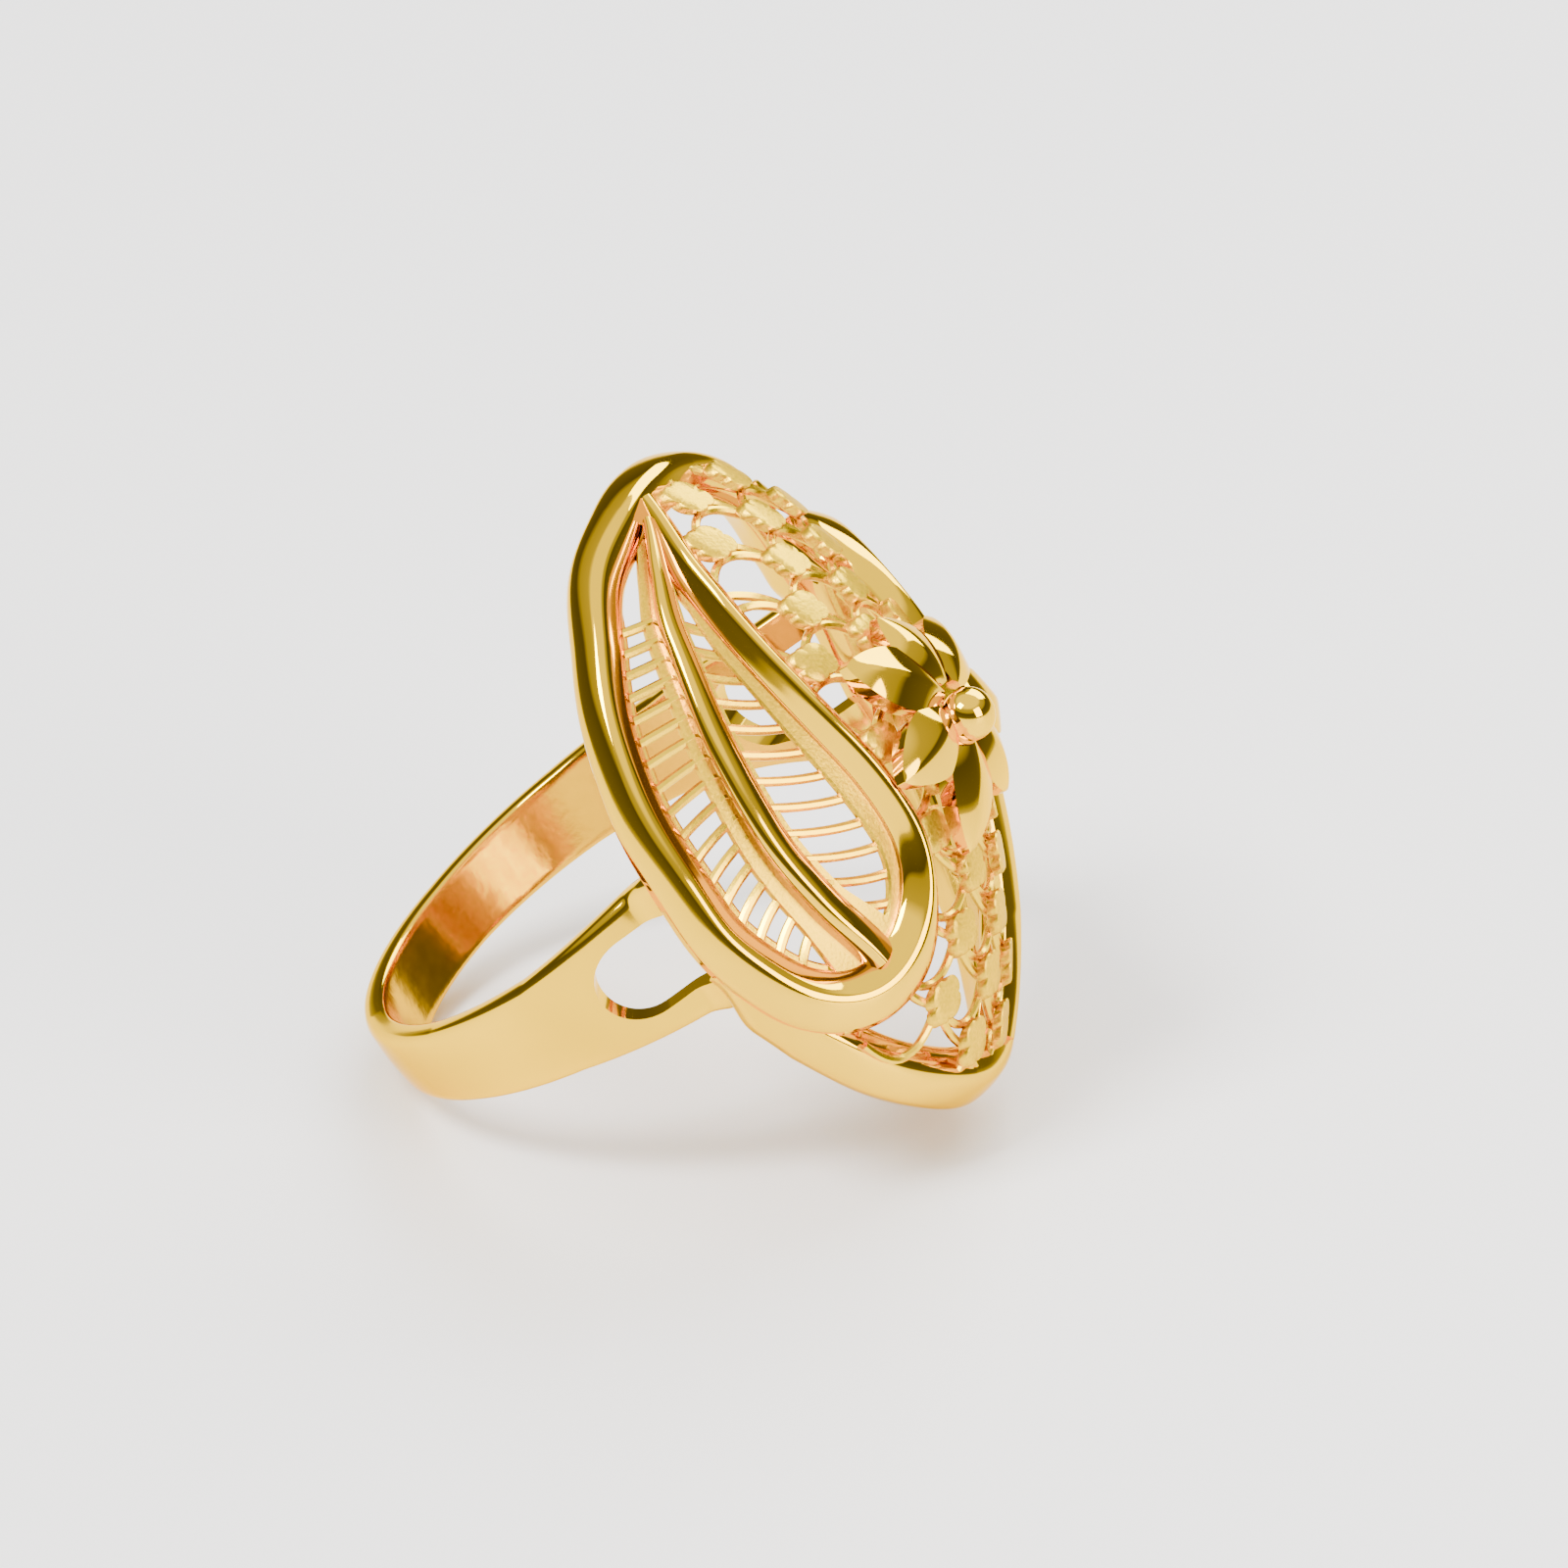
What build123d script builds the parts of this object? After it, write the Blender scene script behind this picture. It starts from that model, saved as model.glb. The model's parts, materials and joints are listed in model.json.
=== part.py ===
from build123d import *
import math
import os

# Driving dimensions, in millimetres and degrees. The ring is described upright,
# finger hole along Y and head upwards, and laid down on its rest points at the end.
bore_r = 8.5  # finger hole
band_t = 0.9  # thickness of the shank's metal
band_w_bottom = 2.5  # width of the shank under the finger
band_w_side = 3.5  # width half way up
band_w_head = 5.2  # width where the shank meets the head
widen_from = 8.0  # depth below the finger's centre at which the band starts to widen
widen_to = 5.2  # height above it at which it has its full width
shoulder_angle = 96.0  # from the bottom of the band to where the shoulders run straight
slot_w = 2.8  # width of each shoulder slot
slot_start = 1.8  # height of the slot's round end above the finger's centre

head_side = 9.85  # finger centre to the rim's crest, across the finger
head_end = 10.75  # head centre to the rim's crest, along the finger
crown_h = 13.3  # height of the crest surface over the finger's centre
crown_side_r = 8.3  # its radius across the finger, at the crown
crown_end_r = 11.6  # its radius along the finger
crown_twist = 0.033  # rise of the two lobes per square millimetre
base_twist = 0.024  # the same for the underside of the rims
rim_w = 1.6
rim_h = 1.75  # depth of the rim's wall, without the lobes' rise
ledge_w = 0.5  # narrow shelf inside a paisley's rim, where the fine ribs land
ledge_drop = 0.7
ledge_h = 0.9

midrib_w = 0.9
midrib_drop = 0.45
midrib_h = 0.9
rib_w = 0.3
rib_drop = 0.8
rib_h = 0.4
outer_ribs = 20
inner_ribs = 14

net_pitch = 2.3  # distance between the small plates of the middle band
net_turn = 52.0
net_wire = 0.35
net_plate = 0.95  # width across a plate
net_drop = 0.95
net_h = 0.5

petals = 7
petal_start = -101.0
petal_len = 3.6
petal_w = 2.2
petal_h = 0.55
petal_belly = 0.45  # share of its length at which a petal is widest
petal_fall = 9.0  # slope of a petal below level
petal_foot = 0.75  # flower centre to the foot of a petal
flower_rise = 0.35  # underside of the petals above the crown
stem_r = 1.25
bud_r = 0.85
bud_h = 1.5
bud_sides = 8
rest_lean = -4.5  # sideways lean at which the ring settles

# What follows from them
band_r = bore_r + band_t
shoulder = math.radians(shoulder_angle)
field = 1.6 * max(head_side, head_end)  # half width of the patches that bound the head
deep = 2 * crown_h  # longer than anything that is cut

# The head's outline, as shares of head_side and head_end. The other half is this one turned round.
oval_half = (
    (1.0, 0.05),
    (0.89, 0.46),
    (0.75, 0.71),
    (0.50, 0.915),
    (0.23, 1.0),
    (-0.04, 1.0),
    (-0.235, 0.96),
    (-0.45, 0.84),
    (-0.66, 0.67),
    (-0.855, 0.41),
    (-0.98, 0.09),
)
# One paisley's edge from the head's side round its lobe and back to its point.
curl_shares = (
    (1.0, 0.05),
    (0.965, 0.27),
    (0.845, 0.41),
    (0.70, 0.42),
    (0.57, 0.35),
    (0.455, 0.195),
    (0.405, -0.05),
    (0.36, -0.31),
    (0.26, -0.57),
    (0.09, -0.81),
    (-0.135, -0.985),
)
# Its middle rib, from the point to the lobe.
midrib_shares = (
    (-0.05, -0.95),
    (0.14, -0.85),
    (0.33, -0.715),
    (0.56, -0.455),
    (0.715, -0.16),
    (0.76, 0.10),
    (0.73, 0.36),
)


def plan(shares):
    """Points of the head's plan from shares of its two half sizes."""
    return [(head_side * x, head_end * y) for x, y in shares]


def turned(points):
    """The same points half a turn round the head's centre."""
    return [(-x, -y) for x, y in points]


def crown_face(height, twist):
    """The domed patch that bounds the head, as one exact surface."""
    rows = []
    for u in (-1, 0, 1):
        row = []
        for v in (-1, 0, 1):
            across = (1 if u else -1) * field**2 / (2 * crown_side_r)
            along = (1 if v else -1) * field**2 / (2 * crown_end_r)
            row.append((u * field, v * field, height - across - along + twist * u * v * field**2))
        rows.append(row)
    return Face.make_bezier_surface(rows)


def under(height, twist):
    """Everything below that patch, as a solid."""
    with BuildPart() as block:
        extrude(crown_face(height, twist), amount=deep, dir=(0, 0, -1))
    return block.part


def domed(sketch, drop, depth, base=None):
    """A plan sketch raised between the crown, lowered by drop, and a lower crown."""
    top = under(crown_h - drop, crown_twist)
    with BuildPart() as layer:
        extrude(sketch, amount=deep)
        add(top, mode=Mode.INTERSECT)
        add(under(crown_h - drop - depth, crown_twist if base is None else base), mode=Mode.SUBTRACT)
    return layer.part


def curve_point(curve, share):
    """A point of a plan curve, flattened to two numbers."""
    point = curve @ share
    return (point.X, point.Y)


def arcs(points):
    """A chain of arcs through the points, each through three of them."""
    for first, middle, last in zip(points[::2], points[1::2], points[2::2]):
        ThreePointArc(first, middle, last)


# Plan curves
oval_points = plan(oval_half) + turned(plan(oval_half))
with BuildLine() as oval_line:
    arcs(oval_points + oval_points[:1])
with BuildLine() as curl_line:
    arcs(plan(curl_shares))
with BuildLine() as midrib_line:
    arcs(plan(midrib_shares))

with BuildSketch() as oval_face:
    with BuildLine():
        add(oval_line.line)
    make_face()

# One paisley: inside the oval and on the lobe's side of its own edge
with BuildSketch() as paisley_face:
    with BuildLine():
        add(curl_line.line)
        start = curve_point(curl_line.line, 0)
        end = curve_point(curl_line.line, 1)
        Polyline(end, (end[0], -field), (field, -field), (field, start[1]), start)
    make_face()
    add(oval_face.sketch, mode=Mode.INTERSECT)

with BuildSketch() as both_paisleys:
    add(paisley_face.sketch)
    add(paisley_face.sketch.rotate(Axis.Z, 180))

# Rims: what is left round the two paisley windows and the window of the middle band
with BuildSketch() as paisley_window:
    offset(paisley_face.sketch, amount=-rim_w / 2)
with BuildSketch() as band_window:
    offset(oval_face.sketch, amount=-rim_w / 2)
    wider = offset(paisley_face.sketch, amount=rim_w / 2, mode=Mode.PRIVATE)
    add(wider, mode=Mode.SUBTRACT)
    add(wider.rotate(Axis.Z, 180), mode=Mode.SUBTRACT)
with BuildSketch() as rims:
    offset(oval_face.sketch, amount=rim_w / 2)
    add(paisley_window.sketch, mode=Mode.SUBTRACT)
    add(paisley_window.sketch.rotate(Axis.Z, 180), mode=Mode.SUBTRACT)
    add(band_window.sketch, mode=Mode.SUBTRACT)

# Ledges: a shelf inside each paisley, rooted in its rim
with BuildSketch() as ledge:
    offset(paisley_face.sketch, amount=-rim_w / 4)
    offset(paisley_face.sketch, amount=-rim_w / 2 - ledge_w, mode=Mode.SUBTRACT)
with BuildSketch() as ledges:
    add(ledge.sketch)
    add(ledge.sketch.rotate(Axis.Z, 180))

# Middle ribs and the fine ribs on both sides of them
with BuildSketch() as midrib:
    trace(midrib_line.line, line_width=midrib_w)
with BuildSketch() as midribs:
    add(midrib.sketch)
    add(midrib.sketch.rotate(Axis.Z, 180))


def spread(first, last, count):
    """Evenly spaced shares from the first to the last."""
    return [first + (last - first) * i / (count - 1) for i in range(count)]


def rung(start, end):
    """One fine rib in the plan."""
    with BuildSketch(mode=Mode.PRIVATE) as bar:
        with BuildLine():
            Line(start, end)
        trace(line_width=rib_w)
    return bar.sketch


# Shares of the curves' lengths between which the fine ribs stand
oval_from, oval_to = 0.80, 0.995
lobe_from, lobe_to = 0.03, 0.20
lobe_ribs = 4
curl_from, curl_to = 0.92, 0.29
mid_outer = (0.20, 0.985)
mid_inner = (0.17, 0.97)

with BuildSketch() as ribs:
    side = [curve_point(oval_line.line, s) for s in spread(oval_from, oval_to, outer_ribs - lobe_ribs)]
    side += [curve_point(curl_line.line, s) for s in spread(lobe_from, lobe_to, lobe_ribs)]
    for outer, share in zip(side, spread(*mid_outer, outer_ribs)):
        add(rung(curve_point(midrib_line.line, share), outer))
    inner = [curve_point(curl_line.line, s) for s in spread(curl_from, curl_to, inner_ribs)]
    for edge, share in zip(inner, spread(*mid_inner, inner_ribs)):
        add(rung(curve_point(midrib_line.line, share), edge))
    add(ribs.sketch.rotate(Axis.Z, 180))

# The middle band's net: two sets of wires and a small plate on each crossing
lines = 2 * math.ceil(head_end / net_pitch) + 3
across_head = 4 * head_end
with BuildSketch() as net:
    with Locations(Rotation(0, 0, net_turn)):
        with GridLocations(net_pitch, 0, lines, 1):
            Rectangle(net_wire, across_head)
        with GridLocations(0, net_pitch, 1, lines):
            Rectangle(across_head, net_wire)
        with GridLocations(net_pitch, net_pitch, lines, lines):
            Rectangle(net_plate, net_plate)
    add(oval_face.sketch, mode=Mode.INTERSECT)
    add(both_paisleys.sketch, mode=Mode.SUBTRACT)

# The head's layers, each with its own height and depth
rim_layer = domed(rims.sketch, 0, rim_h, base_twist)
ledge_layer = domed(ledges.sketch, ledge_drop, ledge_h)
midrib_layer = domed(midribs.sketch, midrib_drop, midrib_h)
rib_layer = domed(ribs.sketch, rib_drop, rib_h)
net_layer = domed(net.sketch, net_drop, net_h)

# Shank: a band round the finger that runs straight up from the shoulders,
# wider towards the head, with a slot in each shoulder
straight = crown_h - head_side**2 / (2 * crown_side_r) - rim_h / 2
with BuildPart() as shank:
    with BuildSketch(Plane.XZ):
        with BuildLine():
            for r in (bore_r, band_r):
                right = (r * math.sin(shoulder), -r * math.cos(shoulder))
                left = (-right[0], right[1])
                rise = straight - right[1]
                lean = rise / math.tan(shoulder)
                tip = (right[0] + lean, straight)
                ThreePointArc(left, (0, -r), right)
                Line(right, tip)
                Line(left, (-tip[0], straight))
            gap = band_t / math.sin(shoulder)
            Line(tip, (tip[0] - gap, straight))
            Line((-tip[0], straight), (gap - tip[0], straight))
        make_face()
    extrude(amount=band_w_head, both=True)
    with BuildSketch(Plane.YZ) as width:
        with BuildLine():
            halves = (
                (band_w_bottom, -2 * band_r),
                (band_w_bottom, -widen_from),
                (band_w_side, 0),
                (band_w_head, widen_to),
            )
            right_side = [(w / 2, z) for w, z in halves]
            Spline(right_side[1:])
            Line(right_side[0], right_side[1])
            Line(right_side[-1], (band_w_head / 2, straight))
            Line((band_w_head / 2, straight), (0, straight))
            Line((0, straight), (0, -2 * band_r))
            Line((0, -2 * band_r), right_side[0])
        make_face()
        mirror(about=Plane.YZ)
    extrude(amount=2 * band_r, both=True, mode=Mode.INTERSECT)

    with BuildSketch(Plane.YZ):
        with Locations((0, slot_start + slot_w / 2)):
            Circle(slot_w / 2)
        with Locations((0, slot_start + slot_w / 2)):
            Rectangle(slot_w, straight, align=(Align.CENTER, Align.MIN))
    extrude(amount=2 * band_r, both=True, mode=Mode.SUBTRACT)

# Flower: a short stem, pointed petals that slope outwards and a faceted bud
petal_base = crown_h + flower_rise
with BuildPart() as flower:
    with Locations((0, 0, petal_base)):
        Cylinder(stem_r, flower_rise + net_drop + net_h, align=(Align.CENTER, Align.CENTER, Align.MAX))
    for n in range(petals):
        heading = math.radians(petal_start + 360 * n / petals)
        fall = math.radians(petal_fall)
        outward = Vector(
            math.cos(heading) * math.cos(fall), math.sin(heading) * math.cos(fall), -math.sin(fall)
        )
        across = Vector(-math.sin(heading), math.cos(heading), 0)
        leaf = Plane(origin=(0, 0, petal_base - petal_h), x_dir=outward, z_dir=outward.cross(across))
        with BuildSketch(leaf):
            with BuildLine():
                foot, tip = (petal_foot, 0), (petal_foot + petal_len, 0)
                middle = petal_foot + petal_belly * petal_len
                ThreePointArc(foot, (middle, petal_w / 2), tip)
                ThreePointArc(foot, (middle, -petal_w / 2), tip)
            make_face()
        extrude(amount=2 * petal_h)
    with BuildSketch(Plane.XY.offset(petal_base - petal_h)):
        RegularPolygon(bud_r, bud_sides)
    extrude(amount=petal_h + bud_h)

with BuildPart() as ring:
    add([rim_layer, ledge_layer, midrib_layer, rib_layer, net_layer, shank.part, flower.part])

# Laid down: the shank's lower edge and the head's lower end are level
reach = [(x * (1 + rim_w / 2 / head_side), y * (1 + rim_w / 2 / head_end)) for x, y in oval_points]


def rim_base(x, y):
    """Height of the underside of the rims over the finger's centre."""
    fall = x**2 / (2 * crown_side_r) + y**2 / (2 * crown_end_r)
    return crown_h - rim_h - fall + base_twist * x * y


lowest = [math.atan2(y - band_w_bottom / 2, rim_base(x, y) + band_r) for x, y in reach]
tilt = max(lowest)
lean = math.radians(rest_lean)
up = Vector(math.sin(lean), -math.cos(tilt) * math.cos(lean), math.sin(tilt) * math.cos(lean))
ahead = (Vector(0, 0, 1) - up * up.Z).normalized()
side = up.cross(ahead)
rest = Plane(origin=(0, 0, 0), x_dir=(ahead.X, side.X, up.X), z_dir=(ahead.Z, side.Z, up.Z))
laid = ring.part.moved(rest.location)
box = laid.bounding_box()
shift = Vector(-box.center().X, -box.center().Y, -box.min.Z)
laid = laid.moved(Location(shift))
laid.label = "ring"

os.makedirs("parts", exist_ok=True)
export_step(laid, "parts/ring.step")
print("tilt", round(math.degrees(tilt), 3), "finger centre", shift, "size", box.size)
print("finger axis", rest.y_dir, "head axis", rest.z_dir, "volume", laid.volume, laid.is_valid)
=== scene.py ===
import json
import math

import bpy
import bmesh
import numpy as np
from mathutils import Matrix, Vector


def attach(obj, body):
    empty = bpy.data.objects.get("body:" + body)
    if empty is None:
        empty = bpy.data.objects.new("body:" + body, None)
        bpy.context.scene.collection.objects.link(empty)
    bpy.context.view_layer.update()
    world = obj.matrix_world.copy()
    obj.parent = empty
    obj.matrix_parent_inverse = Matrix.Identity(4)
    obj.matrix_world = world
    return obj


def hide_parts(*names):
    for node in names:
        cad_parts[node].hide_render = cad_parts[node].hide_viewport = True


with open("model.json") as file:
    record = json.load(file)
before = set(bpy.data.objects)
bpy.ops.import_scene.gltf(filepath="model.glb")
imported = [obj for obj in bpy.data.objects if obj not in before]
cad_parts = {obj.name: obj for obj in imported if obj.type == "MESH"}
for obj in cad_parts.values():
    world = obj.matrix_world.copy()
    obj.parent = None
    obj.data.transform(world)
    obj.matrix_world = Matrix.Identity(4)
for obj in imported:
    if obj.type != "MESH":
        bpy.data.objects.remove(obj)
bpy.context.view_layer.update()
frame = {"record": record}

MM = 0.001

# Sizes of the ring in millimetres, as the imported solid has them
bore_r = 8.5  # finger hole
band_t = 0.9  # thickness of the shank's metal
band_w_bottom = 2.5
band_w_side = 3.5
band_w_head = 5.2
slot_w = 2.8
slot_start = 1.8  # height of the slot's round end above the finger's centre
head_side = 9.85  # finger centre to the rim's crest, across the finger
head_end = 10.75  # head centre to the rim's crest, along the finger
crown_h = 13.3  # height of the crest surface over the finger's centre
crown_side_r = 8.3
crown_end_r = 11.6
crown_twist = 0.033  # rise of the two lobes per square millimetre
outer_ribs = 20
inner_ribs = 14

# The ring's own axes inside the row: the finger hole's centre and axis come from the record,
# +Z runs from the hole to the flower and +X to the side that shows
bore = next(m for m in frame["record"]["mounts"] if m["name"] == "finger_bore")
centre = Vector(bore["pos_m"])
along = Vector(bore["axis"]).normalized()
upward = Vector((-along.z, 0, along.x)).normalized()
across = along.cross(upward)
ring_axes = np.array([across, along, upward])


def row(points):
    """Ring millimetres to row metres."""
    return np.asarray(points, float) * MM @ ring_axes + np.array(centre)


# Camera at the photograph's angle, in degrees and metres
view_azimuth = 16.68
view_elevation = 27.03
view_roll = -1.22
view_distance = 0.5828
view_width = 0.0502
view_right = 0.00526
view_up = 0.00302
sensor_width = 36  # millimetres, as Blender has it


def make_camera():
    data = bpy.data.cameras.new("camera")
    cam = bpy.data.objects.new("camera", data)
    bpy.context.scene.collection.objects.link(cam)
    azimuth, elevation, roll = (math.radians(v) for v in (view_azimuth, view_elevation, view_roll))
    back = Vector((math.sin(azimuth) * math.cos(elevation), -math.cos(azimuth) * math.cos(elevation),
                   math.sin(elevation)))
    level = Vector((math.cos(azimuth), math.sin(azimuth), 0))
    top = back.cross(level)
    right = level * math.cos(roll) + top * math.sin(roll)
    up = top * math.cos(roll) - level * math.sin(roll)
    place = Matrix((right, up, back)).transposed().to_4x4()
    place.translation = centre + back * view_distance + right * view_right + up * view_up
    cam.matrix_world = place
    data.sensor_width = sensor_width
    data.lens = sensor_width * view_distance / view_width
    data.clip_start = 0.05
    data.clip_end = 10
    bpy.context.scene.camera = cam


# Curves and surfaces
def unit(vectors):
    """Vectors scaled to length one."""
    return vectors / np.linalg.norm(vectors, axis=-1, keepdims=True)


def around(count):
    """Even angles round a circle."""
    return np.linspace(0, 2 * math.pi, count, endpoint=False)


def arch(shares):
    """A bow that is 0 at both ends and 1 in the middle."""
    return 4 * shares * (1 - shares)


def ease(share):
    """A share that starts and ends slowly."""
    share = np.clip(share, 0, 1)
    return share * share * (3 - 2 * share)


def read_off(table, shares):
    """Values at some shares, read from a table of (share, value)."""
    return np.interp(shares, *zip(*table))


def plan(shares):
    """Plan points from shares of the head's half widths."""
    return np.array([(head_side * x, head_end * y) for x, y in shares])


def resample(points, count):
    """An even run of points along a chain of points."""
    length = np.concatenate([[0], np.cumsum(np.linalg.norm(np.diff(points, axis=0), axis=1))])
    want = np.linspace(0, length[-1], count)
    return np.stack([np.interp(want, length, points[:, k]) for k in range(points.shape[1])], -1)


def smooth(points, count, closed=False):
    """An even run of points along a smooth curve through the given ones."""
    p = np.asarray(points, float)
    if closed:
        knots = np.vstack([p[-1:], p, p[:2]])
    else:
        knots = np.vstack([2 * p[:1] - p[1:2], p, 2 * p[-1:] - p[-2:-1]])
    fine = []
    for a, b, c, d in zip(knots, knots[1:], knots[2:], knots[3:]):
        for t in np.linspace(0, 1, 24, endpoint=False):
            fine.append(0.5 * (2 * b + (c - a) * t + (2 * a - 5 * b + 4 * c - d) * t**2
                               + (3 * b - a - 3 * c + d) * t**3))
    fine.append(p[0] if closed else p[-1])
    if closed:
        return resample(np.array(fine), count + 1)[:-1]
    return resample(np.array(fine), count)


def softened(line, reach):
    """An evenly divided line with its small corners rounded off and its ends kept."""
    weights = np.exp(-0.5 * np.linspace(-2, 2, 2 * reach + 1) ** 2)
    weights /= weights.sum()
    before = 2 * line[0] - line[reach:0:-1]
    after = 2 * line[-1] - line[-2:-reach - 2:-1]
    padded = np.vstack([before, line, after])
    return np.stack([np.convolve(padded[:, k], weights, "valid") for k in range(line.shape[1])], -1)


def at(curve, share):
    """The point at a share of a curve's length."""
    place = share * (len(curve) - 1)
    k = min(int(place), len(curve) - 2)
    return curve[k] * (1 - (place - k)) + curve[k + 1] * (place - k)


def crown(x, y, drop=0.0):
    """Height of the head's crest surface, lowered by drop."""
    return crown_h - drop - x**2 / (2 * crown_side_r) - y**2 / (2 * crown_end_r) + crown_twist * x * y


def crown_normal(path):
    """Unit normals of the crown under a path."""
    x, y = path[:, 0], path[:, 1]
    slope_x = x / crown_side_r - crown_twist * y
    slope_y = y / crown_end_r - crown_twist * x
    return unit(np.column_stack([slope_x, slope_y, np.ones(len(x))]))


def raised(points, drop):
    """Plan points lifted to the crown."""
    p = np.asarray(points, float)
    return np.column_stack([p[:, 0], p[:, 1], crown(p[:, 0], p[:, 1], drop)])


def turned(points):
    """Half a turn round the head's axis."""
    return np.asarray(points, float) * np.array([-1, -1, 1])


def side_copy(rings, far):
    """The rings of the near side, or half a turn round for the far side."""
    return [turned(r) for r in rings] if far else rings


def sweep(path, sections):
    """Sections of (outward, up) points along a path, square to the crown."""
    ahead = unit(np.gradient(path, axis=0))
    side = unit(np.cross(ahead, crown_normal(path)))
    up = np.cross(side, ahead)
    return [p + form[:, :1] * s + form[:, 1:] * u for p, s, u, form in zip(path, side, up, sections)]


def between(stops, shares):
    """Sections along a path, eased from one to the next of those given at a few shares."""
    places = np.array([place for place, form in stops])
    forms = [np.asarray(form, float) for place, form in stops]
    out = []
    for share in shares:
        k = int(np.clip(np.searchsorted(places, share) - 1, 0, len(places) - 2))
        t = ease((share - places[k]) / (places[k + 1] - places[k]))
        out.append(forms[k] * (1 - t) + forms[k + 1] * t)
    return out


# Meshes
weld_gap = 1e-7
wire_sides = 8


class Build:
    """Collects the points and faces of one joined mesh."""

    def __init__(self):
        self.points = []
        self.faces = []

    def add(self, points, faces):
        base = len(self.points)
        self.points += [tuple(p) for p in points]
        self.faces += [tuple(base + i for i in f) for f in faces]

    def skin(self, rings):
        """Joins cross-sections of as many points each and closes both ends."""
        count = len(rings[0])
        last = (len(rings) - 1) * count
        faces = []
        for start in range(0, last, count):
            for k in range(count):
                after = (k + 1) % count
                faces.append((start + k, start + after, start + count + after, start + count + k))
        faces.append(tuple(range(count))[::-1])
        faces.append(tuple(last + k for k in range(count)))
        self.add(np.vstack(rings), faces)

    def piece(self, name, material, crease=40, weld=False):
        mesh = bpy.data.meshes.new(name)
        mesh.from_pydata([tuple(v) for v in row(self.points)], [], self.faces)
        bm = bmesh.new()
        bm.from_mesh(mesh)
        if weld:
            bmesh.ops.remove_doubles(bm, verts=bm.verts, dist=weld_gap)
        bmesh.ops.recalc_face_normals(bm, faces=bm.faces)
        bm.to_mesh(mesh)
        bm.free()
        mesh.polygons.foreach_set("use_smooth", [True] * len(mesh.polygons))
        mesh.set_sharp_from_angle(angle=math.radians(crease))
        mesh.materials.append(material)
        obj = bpy.data.objects.new(name, mesh)
        bpy.context.scene.collection.objects.link(obj)
        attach(obj, "root")
        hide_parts("ring")
        return obj


def wire(build, path, radius):
    """A round wire along a path of points."""
    rings = []
    for p, ahead in zip(path, unit(np.gradient(path, axis=0))):
        side = unit(np.cross(ahead, (0, 0, 1.0)))
        up = np.cross(side, ahead)
        rings.append(np.array([p + radius * (math.cos(q) * side + math.sin(q) * up)
                               for q in around(wire_sides)]))
    build.skin(rings)


# Materials
edge_tint = (1.0, 0.82, 0.40)
grain_depth = 0.02 * MM
gloss_swing = 0.25


def gold(name, colour, rough, grain, bump, speckle):
    """A gold whose colour, gloss and relief vary with a fine grain."""
    mat = bpy.data.materials.new(name)
    mat.use_nodes = True
    nodes, links = mat.node_tree.nodes, mat.node_tree.links
    shader = nodes["Principled BSDF"]
    shader.inputs["Metallic"].default_value = 1.0
    shader.inputs["Specular Tint"].default_value = (*edge_tint, 1)
    coord = nodes.new("ShaderNodeTexCoord")
    noise = nodes.new("ShaderNodeTexNoise")
    noise.inputs["Scale"].default_value = grain
    noise.inputs["Detail"].default_value = 5
    links.new(coord.outputs["Object"], noise.inputs["Vector"])
    tint = nodes.new("ShaderNodeValToRGB")
    low, high = tint.color_ramp.elements
    low.position, high.position = 0.3, 0.7
    low.color = (*[c * (1 - speckle) for c in colour], 1)
    high.color = (*colour, 1)
    links.new(noise.outputs["Fac"], tint.inputs["Fac"])
    links.new(tint.outputs["Color"], shader.inputs["Base Color"])
    gloss = nodes.new("ShaderNodeMapRange")
    gloss.inputs["To Min"].default_value = rough * (1 - gloss_swing)
    gloss.inputs["To Max"].default_value = rough * (1 + gloss_swing)
    links.new(noise.outputs["Fac"], gloss.inputs["Value"])
    links.new(gloss.outputs["Result"], shader.inputs["Roughness"])
    relief = nodes.new("ShaderNodeBump")
    relief.inputs["Strength"].default_value = bump
    relief.inputs["Distance"].default_value = grain_depth
    links.new(noise.outputs["Fac"], relief.inputs["Height"])
    links.new(relief.outputs["Normal"], shader.inputs["Normal"])
    return mat


polished = gold("gold_polished", (0.96, 0.57, 0.0), rough=0.06, grain=700, bump=0.04, speckle=0.03)
cast = gold("gold_cast", (0.94, 0.60, 0.0), rough=0.22, grain=4000, bump=0.3, speckle=0.12)
satin = gold("gold_satin", (0.94, 0.59, 0.0), rough=0.36, grain=9000, bump=0.8, speckle=0.25)
# Gold for the faces that look at the finger: its darker, more orange colour is painted reflection and
# shade of the gold across the band
painted_reflection_gold = gold("gold_painted_reflection", (0.86, 0.44, 0.0), rough=0.16, grain=2500, bump=0.4, speckle=0.08)

# Plan curves, as shares of head_side and head_end
oval_half = [(1.0, 0.05), (0.89, 0.46), (0.75, 0.71), (0.50, 0.915), (0.23, 1.0), (-0.04, 1.0),
             (-0.235, 0.96), (-0.45, 0.84), (-0.66, 0.67), (-0.855, 0.41), (-0.98, 0.09)]
curl_shares = [(1.0, 0.05), (0.965, 0.27), (0.845, 0.41), (0.70, 0.42), (0.57, 0.35), (0.455, 0.195),
               (0.405, -0.05), (0.36, -0.31), (0.26, -0.57), (0.09, -0.81), (-0.135, -0.985)]
midrib_shares = [(-0.05, -0.95), (0.14, -0.85), (0.33, -0.715), (0.56, -0.455), (0.715, -0.16),
                 (0.76, 0.10), (0.73, 0.36)]
# How many points each curve is divided into
oval_steps = 480
curl_steps = 200
midrib_steps = 120
rim_steps = 520
ledge_steps = 360
rim_softness = 13  # points over which the rim's line is rounded off
oval = smooth(np.vstack([plan(oval_half), -plan(oval_half)]), oval_steps, closed=True)
curl = smooth(plan(curl_shares), curl_steps)
midrib = smooth(plan(midrib_shares), midrib_steps)

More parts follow.
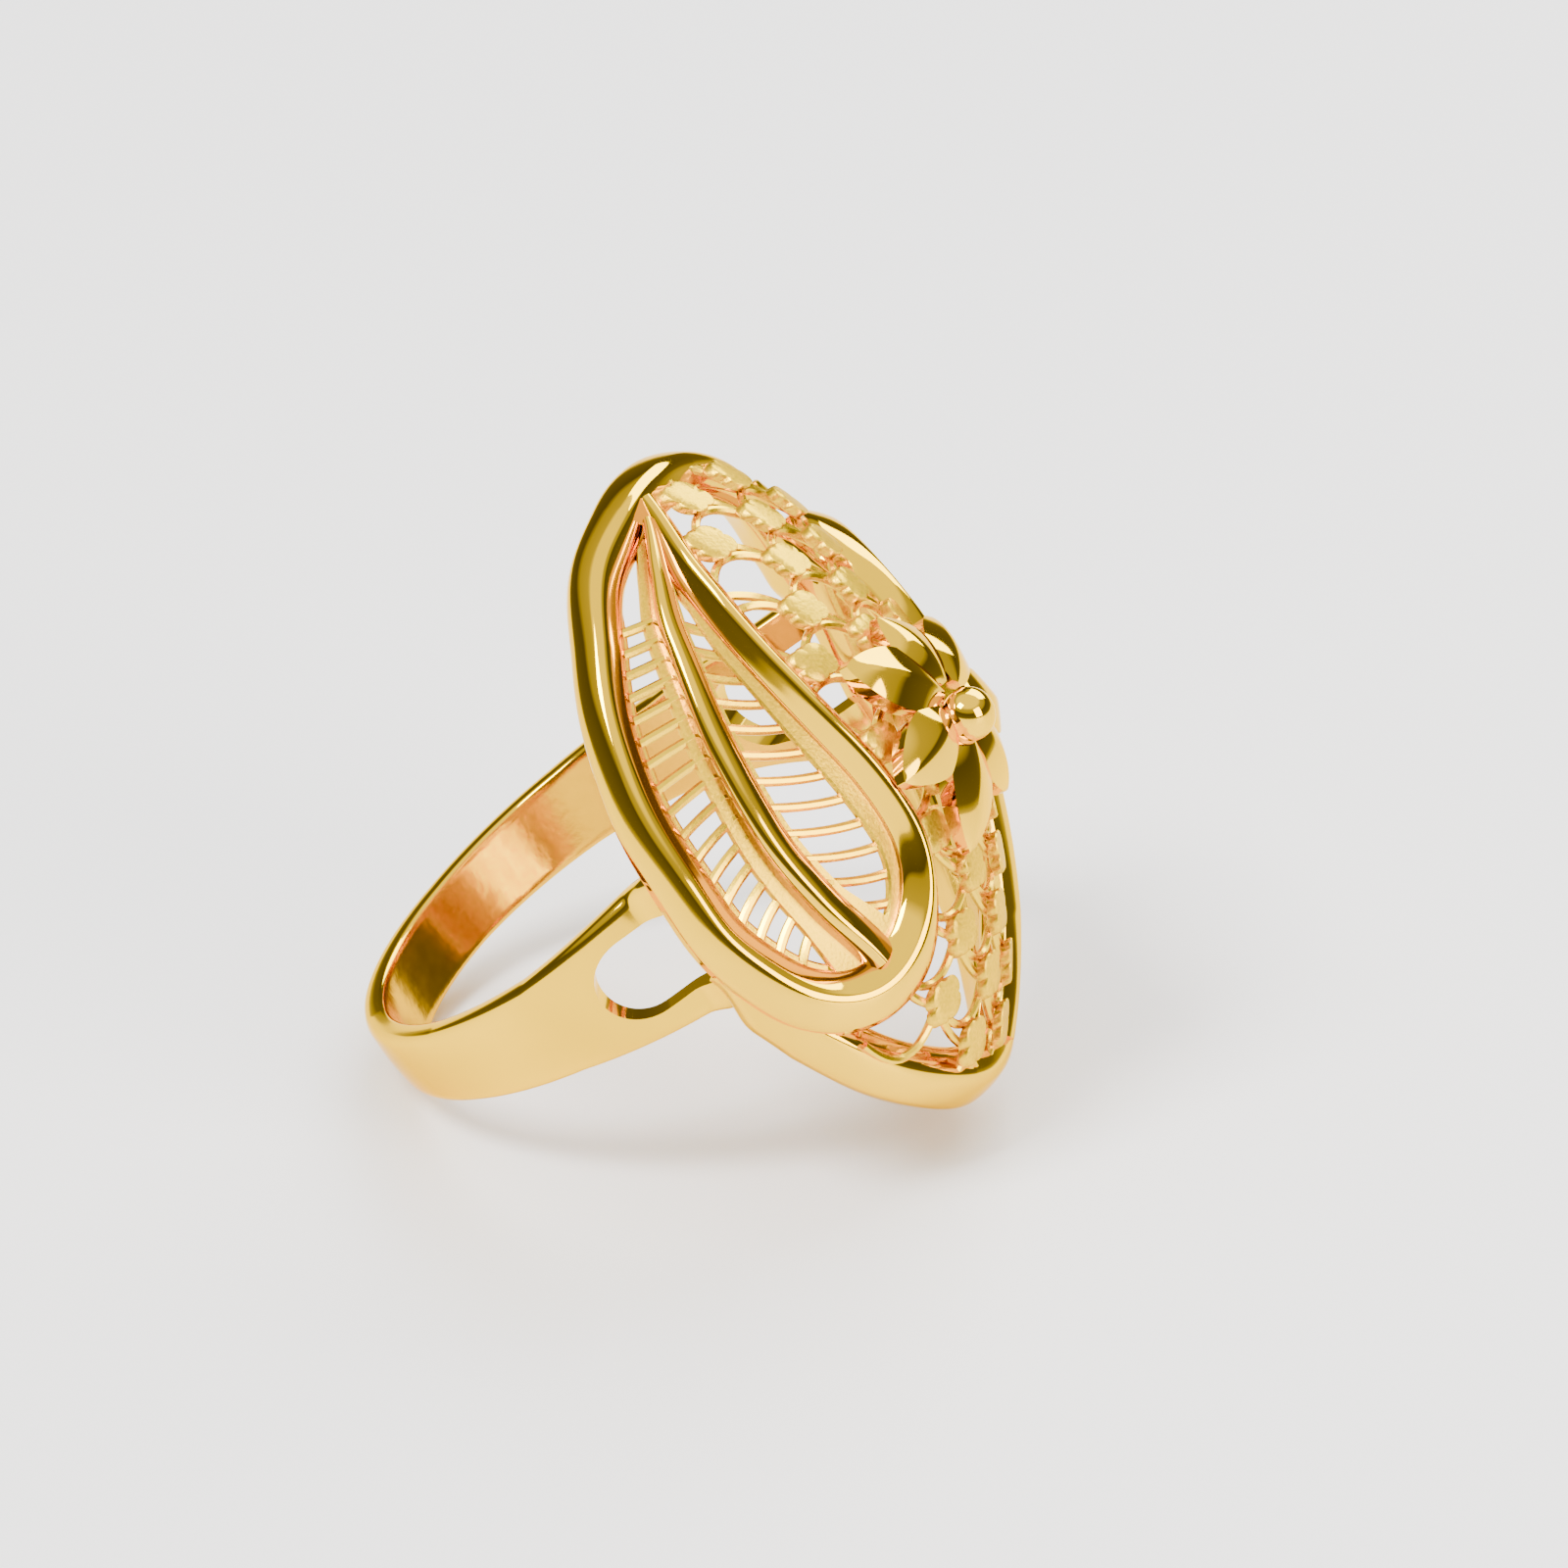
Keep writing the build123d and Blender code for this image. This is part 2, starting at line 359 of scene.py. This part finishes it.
# Rims: a ridged wire that starts under the other lobe, runs round the head's end and side,
# round its own lobe and back to its point
rim_corners = plan([(-x, -y) for x, y in oval_half] + curl_shares)
rim_line = softened(smooth(rim_corners, rim_steps), rim_softness)


def share_near(x_share, y_share):
    """How far along the rim's line the point nearest to a plan place lies."""
    gap = np.linalg.norm(rim_line - plan([(x_share, y_share)]), axis=1)
    return gap.argmin() / (len(rim_line) - 1)


def rim_form(outer, inner, wall, inner_wall):
    """A ridge of two slopes over straight walls, as (outward, up) points from the crest."""
    out_side = [(0.94, -wall), (1.0, -0.85), (0.92, -0.56), (0.55, -0.22), (0.18, -0.01)]
    in_side = [(0.20, -0.05), (0.55, -0.33), (0.92, -0.66), (1.0, -0.86), (0.96, -inner_wall)]
    outline = [(outer * x, y) for x, y in out_side] + [(0.0, 0.0)] + [(-inner * x, y) for x, y in in_side]
    return smooth(outline + [(0.0, -wall - 0.03)], 44, closed=True)


# The rim where it starts, round the head's end, up its side, at the near side, round the lobe
# and along the curl: half widths and wall depths, each outside and inside
start_form = rim_form(0.60, 0.50, 0.95, 0.95)
end_form = rim_form(1.15, 0.80, 1.25, 1.15)
upper_form = rim_form(0.88, 0.80, 1.15, 1.15)
near_form = rim_form(1.02, 0.80, 1.45, 1.20)
lobe_form = rim_form(1.18, 0.82, 1.85, 1.45)
curl_form = rim_form(0.62, 0.62, 1.30, 1.20)
rim_stops = [(0, start_form),
             (share_near(-0.95, -0.27), end_form),
             (share_near(-0.23, -1.0), end_form),
             (share_near(0.45, -0.84), upper_form),
             (share_near(0.66, -0.67), upper_form),
             (share_near(0.98, -0.09), near_form),
             (share_near(0.90, 0.37), lobe_form),
             (share_near(0.72, 0.42), lobe_form),
             (share_near(0.48, 0.24), curl_form),
             (1, curl_form)]
# How far the crest lies under the crown: deep under the other lobe, then rising round the end
rim_drops = [(0, 0.75),
             (share_near(-0.95, -0.27), 1.20),
             (share_near(-0.91, -0.40), 1.25),
             (share_near(-0.50, -0.915), 0.55),
             (share_near(-0.04, -1.0), 0.15),
             (share_near(0.45, -0.84), 0.0),
             (0.93, 0.0),
             (1, 0.2)]


def stretch(first, last, count):
    """Plan points and shares along a stretch of the rim's line."""
    shares = np.linspace(first, last, count)
    return np.array([at(rim_line, s) for s in shares]), shares


def make_rim(name, far):
    path, shares = stretch(0, 1, rim_steps)
    path = raised(path, read_off(rim_drops, shares))
    build = Build()
    build.skin(side_copy(sweep(path, between(rim_stops, shares)), far))
    return build.piece(name, polished, crease=60)


# Ledges: a narrow shelf inside each paisley, under the ends of the fine ribs
def ledge_form(start, reach, top, low):
    """A shelf from start to reach inward of the crest, with a blunt lip."""
    return [(-start, -top), (-reach + 0.06, -top - 0.03), (-reach, -top - 0.10),
            (-reach + 0.02, -low + 0.12), (-reach + 0.15, -low), (-start, -low)]


ledge_stops = [(share_near(0.07, -0.99), ledge_form(0.40, 0.50, 0.90, 1.05)),
               (share_near(0.45, -0.84), ledge_form(0.50, 0.93, 0.90, 1.15)),
               (share_near(0.93, 0.34), ledge_form(0.50, 1.02, 0.95, 1.35)),
               (share_near(0.57, 0.35), ledge_form(0.45, 1.00, 0.85, 1.25)),
               (share_near(0.405, -0.05), ledge_form(0.40, 1.22, 0.76, 1.15)),
               (share_near(0.26, -0.57), ledge_form(0.40, 1.00, 0.74, 1.05)),
               (share_near(0.0, -0.89), ledge_form(0.30, 0.55, 0.75, 1.00))]


def make_ledge(name, far):
    path, shares = stretch(ledge_stops[0][0], ledge_stops[-1][0], ledge_steps)
    build = Build()
    build.skin(side_copy(sweep(raised(path, 0), between(ledge_stops, shares)), far))
    return build.piece(name, satin)


# Middle ribs: a polished ridge on a satin foot
ridge_form = smooth([(0.52, -0.85), (0.54, -0.40), (0.42, -0.13), (0.22, 0.0), (0.02, -0.02),
                     (-0.26, -0.18), (-0.48, -0.36), (-0.55, -0.52), (-0.52, -0.85)], 30, closed=True)
foot_form = np.array([(0.98, -0.62), (1.02, -0.72), (0.98, -1.02), (-0.74, -1.02), (-0.74, -0.62)])
midrib_drop = 0.28
# Scale of the ridge and of the foot's width at shares of the middle rib's length
ridge_scales = [(0, 0.30), (0.2, 0.75), (0.5, 1.0), (1, 1.05)]
foot_scales = [(0, 0.35), (0.2, 0.75), (0.5, 0.95), (0.85, 1.1), (1, 1.6)]
midrib_path = raised(midrib, midrib_drop)
midrib_run = np.linspace(0, 1, len(midrib))


def make_midrib(name, far):
    sections = [ridge_form * scale for scale in read_off(ridge_scales, midrib_run)]
    build = Build()
    build.skin(side_copy(sweep(midrib_path, sections), far))
    return build.piece(name, polished, crease=60)


def make_foot(name, far):
    sections = [foot_form * (scale, 1) for scale in read_off(foot_scales, midrib_run)]
    build = Build()
    build.skin(side_copy(sweep(midrib_path, sections), far))
    return build.piece(name, satin)


# Fine ribs between the rim and the middle rib, bowed along the finger and sagging below the crown
rib_r = 0.17
rib_drop = 0.85  # square to the crown
rib_reach = 0.95  # share of the way to the crest line
# Shares of the middle rib at which ribs start, and of the rim's line or the curl at which they end
outer_ties = [(0.20, 0.365), (0.45, 0.454), (0.67, 0.546), (0.84, 0.609), (0.975, 0.680)]
inner_ties = [(0.22, 0.775), (0.97, 0.25)]
# Sag, and bow as a share of the rib's length, of the first and the last rib
outer_sags, outer_bows = (0.10, 0.30), (0.03, -0.12)
inner_sags, inner_bows = (0.20, 0.30), (0.08, 0.08)


def ribs_of(edge, ties, count, sags, bows):
    """Start, end, sag and bow of each fine rib that ends at one edge."""
    starts = np.linspace(ties[0][0], ties[-1][0], count)
    rows = zip(starts, read_off(ties, starts), np.linspace(*sags, count), np.linspace(*bows, count))
    return [(at(midrib, start), at(edge, end), sag, bow) for start, end, sag, bow in rows]


def make_ribs(name, far):
    build = Build()
    shares = np.linspace(0, 1, 11)
    ribs = ribs_of(rim_line, outer_ties, outer_ribs, outer_sags, outer_bows)
    ribs += ribs_of(curl, inner_ties, inner_ribs, inner_sags, inner_bows)
    for start, end, sag, bow in ribs:
        span = (end - start) * rib_reach
        flat = start + span * shares[:, None]
        flat[:, 1] += bow * np.linalg.norm(span) * arch(shares)
        path = raised(flat, 0)
        path = path - rib_drop * crown_normal(path)
        path[:, 2] -= sag * arch(shares)
        wire(build, turned(path) if far else path, rib_r)
    return build.piece(name, cast)


# Middle band: lobed plates on a slanting grid, tied by curved wires
step_a = np.array([1.70, 1.12])
step_b = np.array([-0.94, 2.06])
grid_reach = range(-9, 10)
grid = {(i, j): i * step_a + j * step_b for i in grid_reach for j in grid_reach}
net_drop = 0.95
plate_r = 0.70
plate_lobe = 0.22
plate_turn = 0.55
plate_rise = 0.5  # from the wires' middle to the plates' top
# Sections of a plate from its top face round its edge: share of the outline, and depth
plate_steps = ((0.45, 0.0), (0.93, 0.0), (1.0, 0.05), (1.0, 0.38), (0.85, 0.45), (0.45, 0.45))
rim_room = 0.80  # least distance from a plate's middle to a crest line
stem_room = 1.6  # and to the flower's middle
wire_r = 0.15
# Grid steps from a plate to each one it is tied to, and how far that wire bows
ties_to = ((-1, 1, 0.34), (0, 1, 0.12))
shortest_wire = 4  # a wire with fewer points than this inside the band is left out

point_from = 0.775  # share of the oval at which the paisley's point begins
paisley = np.vstack([oval[int(point_from * len(oval))::4], curl[::4]])


def inside(outline, p):
    """Whether a plan point lies inside a closed outline."""
    x, y = p
    hits = False
    for (x1, y1), (x2, y2) in zip(outline, np.roll(outline, -1, axis=0)):
        if (y1 > y) != (y2 > y) and x < x1 + (y - y1) * (x2 - x1) / (y2 - y1):
            hits = not hits
    return hits


def in_band(p):
    """Whether a plan point lies in the head and in neither paisley."""
    return inside(oval[::4], p) and not inside(paisley, p) and not inside(-paisley, p)


def room(p):
    """Distance from a plan point to the nearest crest line."""
    return min(np.linalg.norm(line - p, axis=1).min() for line in (oval, curl, -curl))


def make_plates(name):
    build = Build()
    angles = around(40)
    radii = plate_r * (1 - plate_lobe + plate_lobe * np.abs(np.cos(2 * angles)) ** 0.6)
    outline = np.column_stack([radii * np.cos(angles + plate_turn), radii * np.sin(angles + plate_turn)])
    for spot in grid.values():
        if in_band(spot) and room(spot) >= rim_room and np.linalg.norm(spot) >= stem_room:
            build.skin([raised(outline * share + spot, net_drop - plate_rise + depth)
                        for share, depth in plate_steps])
    return build.piece(name, satin, crease=45)


def clipped(path):
    """The longest stretch of a plan path that lies in the band."""
    best, current = [], []
    for p in path:
        current = current + [p] if in_band(p) else []
        if len(current) > len(best):
            best = current
    return np.array(best)


def make_net(name):
    build = Build()
    shares = np.linspace(0, 1, 15)
    for (i, j), start in grid.items():
        for di, dj, bend in ties_to:
            end = grid.get((i + di, j + dj))
            if end is None:
                continue
            span = end - start
            bow = np.array([span[1], -span[0]]) * bend
            if bow[1] * (start + end)[1] < 0:
                bow = -bow
            flat = clipped(start + span * shares[:, None] + bow * arch(shares)[:, None])
            if len(flat) >= shortest_wire:
                wire(build, raised(flat, net_drop), wire_r)
    return build.piece(name, cast)


# Shank: rows of a cross-section round the finger that part in two at each shoulder slot
prong_from = math.radians(118)  # from the bottom of the band to where the prongs leave the circle
prong_top = (8.95, 6.9)  # inside the rim's wall
prong_heading = (0.15, 1.0)  # at its top
prong_pull = 3.0  # how firmly a prong keeps its heading at both ends
edge_r = 0.24
inner_edge_r = 0.16
band_dome = 0.10
# Width of the band at heights over the finger hole's centre
band_widths = [(-bore_r, band_w_bottom), (-7.6, band_w_bottom), (-4, 2.85), (0, band_w_side), (3, 4.5),
               (5.2, band_w_head), (9, band_w_head)]
inward = -0.8  # how squarely a face looks at the finger to count as the inside


def shank_line(count):
    """Centre line of the inner face for x > 0, from the bottom to the head, and its outward normals."""
    angles = np.linspace(0, prong_from, 90)
    arc = np.column_stack([bore_r * np.sin(angles), -bore_r * np.cos(angles)])
    leave = arc[-1]
    leave_pull = np.array([math.cos(prong_from), math.sin(prong_from)]) * prong_pull
    top = np.array(prong_top) - (band_t, 0)
    top_pull = np.array(prong_heading) * prong_pull
    t = np.linspace(0, 1, 30)[1:, None]
    bend = (leave * (2 * t**3 - 3 * t**2 + 1) + leave_pull * (t**3 - 2 * t**2 + t)
            + top * (3 * t**2 - 2 * t**3) + top_pull * (t**3 - t**2))
    line = resample(np.vstack([arc, bend]), count)
    ahead = unit(np.gradient(line, axis=0))
    return line, np.column_stack([ahead[:, 1], -ahead[:, 0]])


def half_section(half, slot):
    """(across, out) points of one half of the band, from the slot's edge out and back."""
    outer_y, outer_z = half - edge_r, band_t - band_dome - edge_r
    inner_y, inner_z = half - inner_edge_r, inner_edge_r
    points = []
    for y in np.linspace(slot, outer_y, 7):
        points.append((y, band_t - band_dome * (y / half) ** 2))
    for q in np.linspace(0, math.pi / 2, 5)[1:]:
        points.append((outer_y + edge_r * math.sin(q), outer_z + edge_r * math.cos(q)))
    for q in np.linspace(0, math.pi / 2, 4):
        points.append((inner_y + inner_edge_r * math.cos(q), inner_z - inner_edge_r * math.sin(q)))
    for y in np.linspace(inner_y, slot, 7)[1:]:
        points.append((y, 0.0))
    return np.array(points)


def shank_rows():
    """(height, inner face point, outward normal, half slot) from the bottom to the head."""
    line, normal = shank_line(200)
    heights = line[:, 1]
    slot_half = slot_w / 2
    rows = []
    for height, point, out in zip(heights, line, normal):
        if height <= slot_start:
            rows.append((height, point, out, 0.0))
        elif height >= slot_start + slot_half:
            rows.append((height, point, out, slot_half))
    for turn in np.linspace(0, math.pi / 2, 14):
        height = slot_start + slot_half * (1 - math.cos(turn))
        point = np.array([np.interp(height, heights, line[:, 0]), height])
        out = unit(np.array([np.interp(height, heights, normal[:, k]) for k in (0, 1)]))
        rows.append((height, point, out, slot_half * math.sin(turn)))
    return sorted(rows, key=lambda r: r[0])


def make_shank(name):
    rows = shank_rows()
    build = Build()
    for side in (1, -1):
        for half in (1, -1):
            rings = []
            for height, point, out, slot in rows:
                section = half_section(read_off(band_widths, height) / 2, slot)
                rings.append(np.array([(side * (point[0] + out[0] * o), half * y, point[1] + out[1] * o)
                                       for y, o in section]))
            count = len(rings[0])
            last = (len(rings) - 1) * count
            faces = [tuple(last + k for k in range(count))]
            for i, (height, point, out, slot) in enumerate(rows[1:]):
                start = i * count
                for k in range(count if slot > 0 else count - 1):
                    after = (k + 1) % count
                    faces.append((start + k, start + after, start + count + after, start + count + k))
            build.add(np.vstack(rings), faces)
    shank = build.piece(name, polished, crease=50, weld=True)
    # The inside of the band gets the darker, more orange gold: painted reflection and shade
    paint_inner_reflection(shank, painted_reflection_gold)
    return shank


def paint_inner_reflection(obj, material):
    """Gives the faces that look at the finger a darker, more orange gold: painted reflection and shade.
    """
    obj.data.materials.append(material)
    for face in obj.data.polygons:
        arm = face.center - centre
        arm -= along * arm.dot(along)
        if face.normal.dot(arm.normalized()) < inward:
            face.material_index = 1


# Flower: creased petals round a softly lobed bud, on a short stem
# Each petal's heading in degrees, the radius of its tip and how far the tip droops
petals = ((-100, 3.6, 0.35), (-57, 4.4, 0.50), (0, 4.2, 0.40), (49, 4.7, 0.60),
          (99, 3.7, 0.35), (150, 3.9, 0.35), (205, 3.9, 0.35))
petal_base = crown_h
petal_foot = 0.75  # radius at which the petals start
petal_w = 2.3
petal_lift = 0.42
petal_fall = math.radians(9)
petal_crease = 0.36
# Least half width at shares of the petal's length: its neck and its blunt tip
petal_least = [(0, 0.22), (0.25, 0.0), (1, 0.015)]
petal_under = 0.86  # width of the underside as a share of the top's
petal_end_t = 0.30
petal_middle_t = 0.68
bud_at = (0.50, 0.35, crown_h + 0.76)
bud_r = 0.84
bud_core = 0.97
bud_lobe = 0.09
bud_lobes = 3
bud_twist = 0.8
# Stem sections: radius, and height over the petals' base
stem_steps = [(1.0, -1.45), (1.15, -1.35), (1.2, -0.9), (1.05, -0.3), (0.95, 0.05), (0.8, 0.3)]


def petal_rings(tip, droop):
    """Sections of a petal that heads along x, from its neck to its tip."""
    run = np.linspace(0, 1, 26)
    widths = np.linspace(-1, 1, 13)
    halves = petal_w / 2 * np.sin(math.pi * run**0.88) ** 0.7
    halves = np.maximum(halves, read_off(petal_least, run))
    creases = petal_crease * np.sin(math.pi * np.clip(run * 0.95 + 0.04, 0, 1)) ** 0.7
    walls = petal_end_t + (petal_middle_t - petal_end_t) * np.sin(math.pi * run) ** 0.8
    rings = []
    for share, half, crease, wall in zip(run, halves, creases, walls):
        reach = petal_foot + (tip - petal_foot) * share
        level = petal_lift - math.tan(petal_fall) * (reach - petal_foot) - droop * share**3
        top = [(reach, w * half, level + crease * (1 - abs(w) ** 1.25)) for w in widths]
        under = [(reach, w * half * petal_under, level - wall) for w in widths[::-1]]
        rings.append(np.array(top + under))
    return rings


def make_petals(name):
    build = Build()
    for heading, tip, droop in petals:
        c, s = math.cos(math.radians(heading)), math.sin(math.radians(heading))
        spin = np.array([[c, s, 0], [-s, c, 0], [0, 0, 1]])
        build.skin([ring @ spin + (0, 0, petal_base) for ring in petal_rings(tip, droop)])
    return build.piece(name, polished, crease=26)


def make_bud(name):
    build = Build()
    rings = []
    for t in np.linspace(0.06, math.pi - 0.25, 28):
        ring = []
        for q in around(48):
            lobe = bud_lobe * abs(math.cos(bud_lobes / 2 * q + bud_twist * t)) ** 0.6
            reach = bud_r * math.sin(t) * (bud_core + lobe)
            ring.append((reach * math.cos(q), reach * math.sin(q), bud_r * math.cos(t)))
        rings.append(np.array(ring) + bud_at)
    build.skin(rings)
    return build.piece(name, polished, crease=30)


def make_stem(name):
    build = Build()
    build.skin([np.array([(r * math.cos(q), r * math.sin(q), petal_base + z) for q in around(32)])
                for r, z in stem_steps])
    return build.piece(name, cast)


for tag, far in (("near", False), ("far", True)):
    make_rim("rim_" + tag, far)
    make_ledge("ledge_" + tag, far)
    make_midrib("midrib_" + tag, far)
    make_foot("midrib_foot_" + tag, far)
    make_ribs("ribs_" + tag, far)
make_plates("net_plates")
make_net("net_wires")
make_shank("shank")
make_petals("flower_petals")
make_bud("flower_bud")
make_stem("flower_stem")

# Floor and light, in metres
floor_half = 1.5
floor_colour = (0.95, 0.93, 0.91)
sky_strength = 1.5
# Sky from the horizon to overhead: share of the way up, and colour
sky = ((0.0, (0.50, 0.50, 0.50)),
       (0.07, (0.12, 0.12, 0.12)),
       (0.41, (0.07, 0.07, 0.07)),
       (0.49, (0.36, 0.36, 0.38)),
       (0.70, (0.46, 0.46, 0.48)),
       (0.79, (1.2, 1.2, 1.2)),
       (1.0, (1.2, 1.2, 1.2)))


def make_stage():
    mesh = bpy.data.meshes.new("floor")
    corners = [(floor_half * x, floor_half * y, 0) for x, y in ((-1, -1), (1, -1), (1, 1), (-1, 1))]
    mesh.from_pydata(corners, [], [(0, 1, 2, 3)])
    floor = bpy.data.objects.new("floor", mesh)
    bpy.context.scene.collection.objects.link(floor)
    mat = bpy.data.materials.new("floor")
    mat.use_nodes = True
    shader = mat.node_tree.nodes["Principled BSDF"]
    shader.inputs["Base Color"].default_value = (*floor_colour, 1)
    shader.inputs["Roughness"].default_value = 0.45
    mesh.materials.append(mat)


def area_light(name, place, size, power, colour=(1, 1, 1)):
    """A rectangular light that faces the ring."""
    data = bpy.data.lights.new(name, "AREA")
    data.shape = "RECTANGLE"
    data.size, data.size_y = size
    data.energy = power
    data.color = colour
    lamp = bpy.data.objects.new(name, data)
    bpy.context.scene.collection.objects.link(lamp)
    lamp.location = place
    lamp.rotation_euler = (-Vector(place)).to_track_quat("-Z", "Y").to_euler()


def make_world():
    """A pale studio: bright overhead, a darker band low down for the gold to reflect."""
    world = bpy.data.worlds.new("studio")
    bpy.context.scene.world = world
    world.use_nodes = True
    nodes, links = world.node_tree.nodes, world.node_tree.links
    coord = nodes.new("ShaderNodeTexCoord")
    split = nodes.new("ShaderNodeSeparateXYZ")
    ramp = nodes.new("ShaderNodeValToRGB")
    links.new(coord.outputs["Generated"], split.inputs["Vector"])
    links.new(split.outputs["Z"], ramp.inputs["Fac"])
    stops = ramp.color_ramp.elements
    for k, (place, colour) in enumerate(sky):
        stop = stops[k] if k < 2 else stops.new(place)
        stop.position = place
        stop.color = (*colour, 1)
    links.new(ramp.outputs["Color"], nodes["Background"].inputs["Color"])
    nodes["Background"].inputs["Strength"].default_value = sky_strength


make_stage()
area_light("key", (-0.25, -0.30, 0.55), (0.25, 0.25), 7.5)
area_light("fill", (0.5, -0.2, 0.25), (0.3, 0.4), 4.0, (1.0, 0.90, 0.80))
area_light("back", (0.1, 0.5, 0.4), (0.5, 0.3), 5.0, (0.90, 0.95, 1.0))
make_world()
make_camera()
